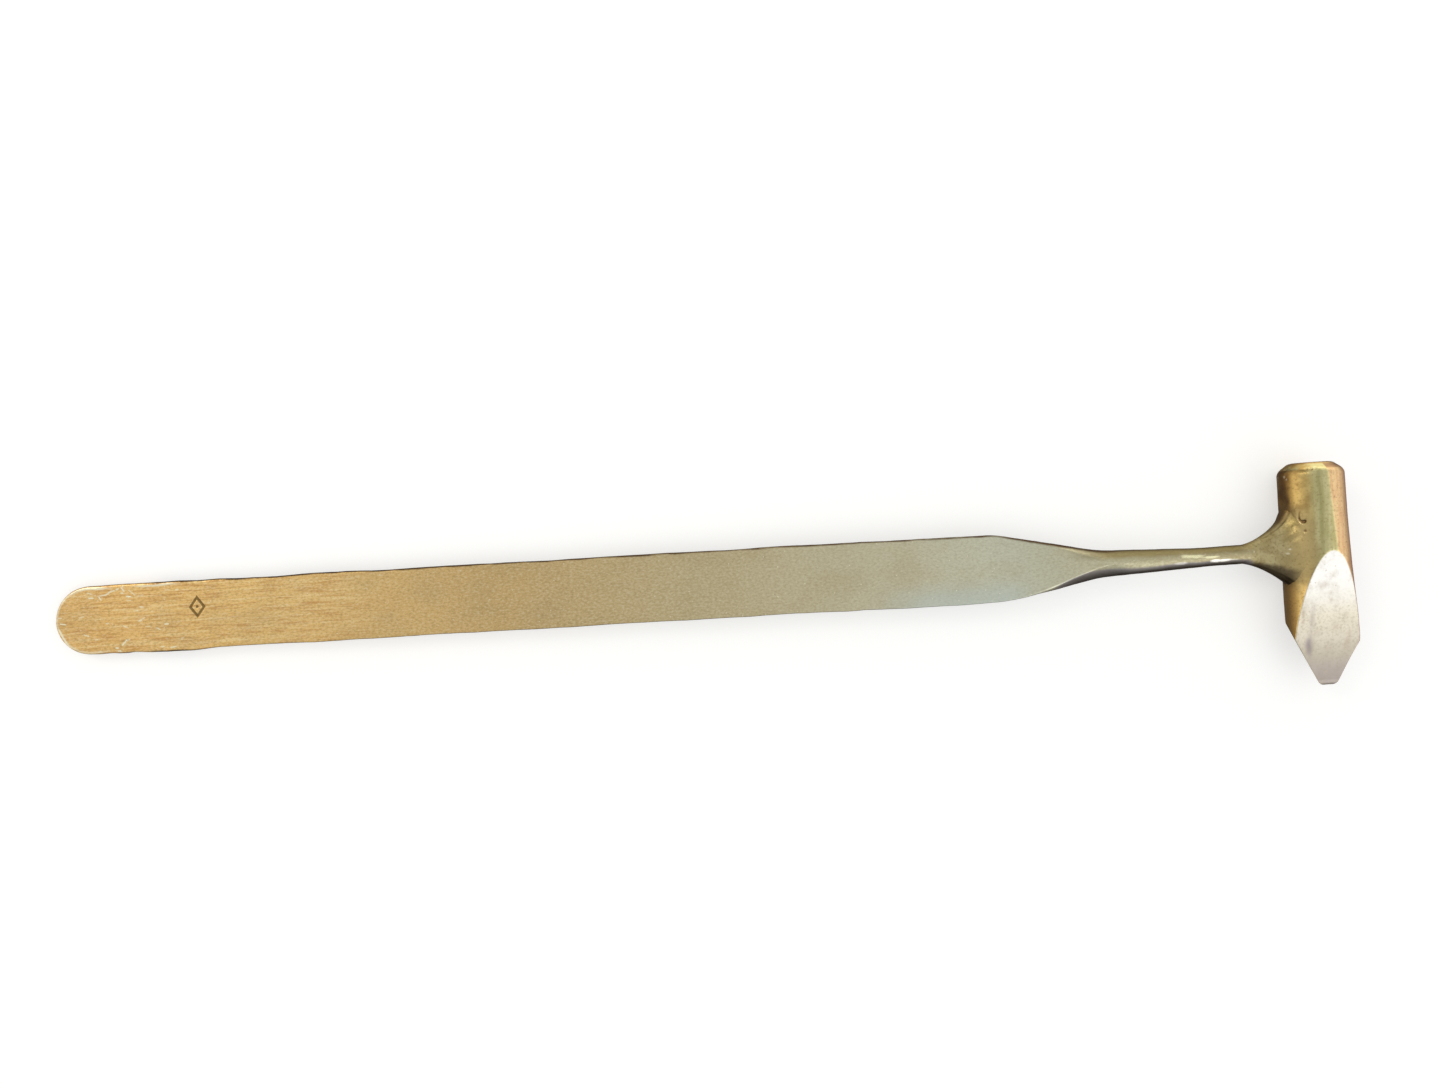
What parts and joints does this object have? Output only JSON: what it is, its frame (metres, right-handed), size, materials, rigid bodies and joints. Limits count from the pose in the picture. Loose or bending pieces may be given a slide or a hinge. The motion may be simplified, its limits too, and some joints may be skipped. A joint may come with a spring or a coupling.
{
  "type": "small brass hammer",
  "caption": "Small all-brass hammer with a flat strip handle, slender round neck, and a short head with a round striking face and a ground straight peen.",
  "frame": {"origin": "under the middle of the whole hammer, level with the lowest line of the head", "axes": "+X along the handle towards the head, +Y the way the striking face looks, +Z the normal of the flat grip"},
  "size_m": [0.2444, 0.0422, 0.0112],
  "materials": {
    "handle_brass": "brushed, worn satin, tarnished towards the neck",
    "head_brass": "satin, tarnished, with bright ground peen facets",
    "braze_metal": "matt, tarnished, uneven"
  },
  "bodies": {
    "root": {"handle": "handle_brass", "head": "head_brass", "braze_fillet": "braze_metal"}
  },
  "joints": []
}
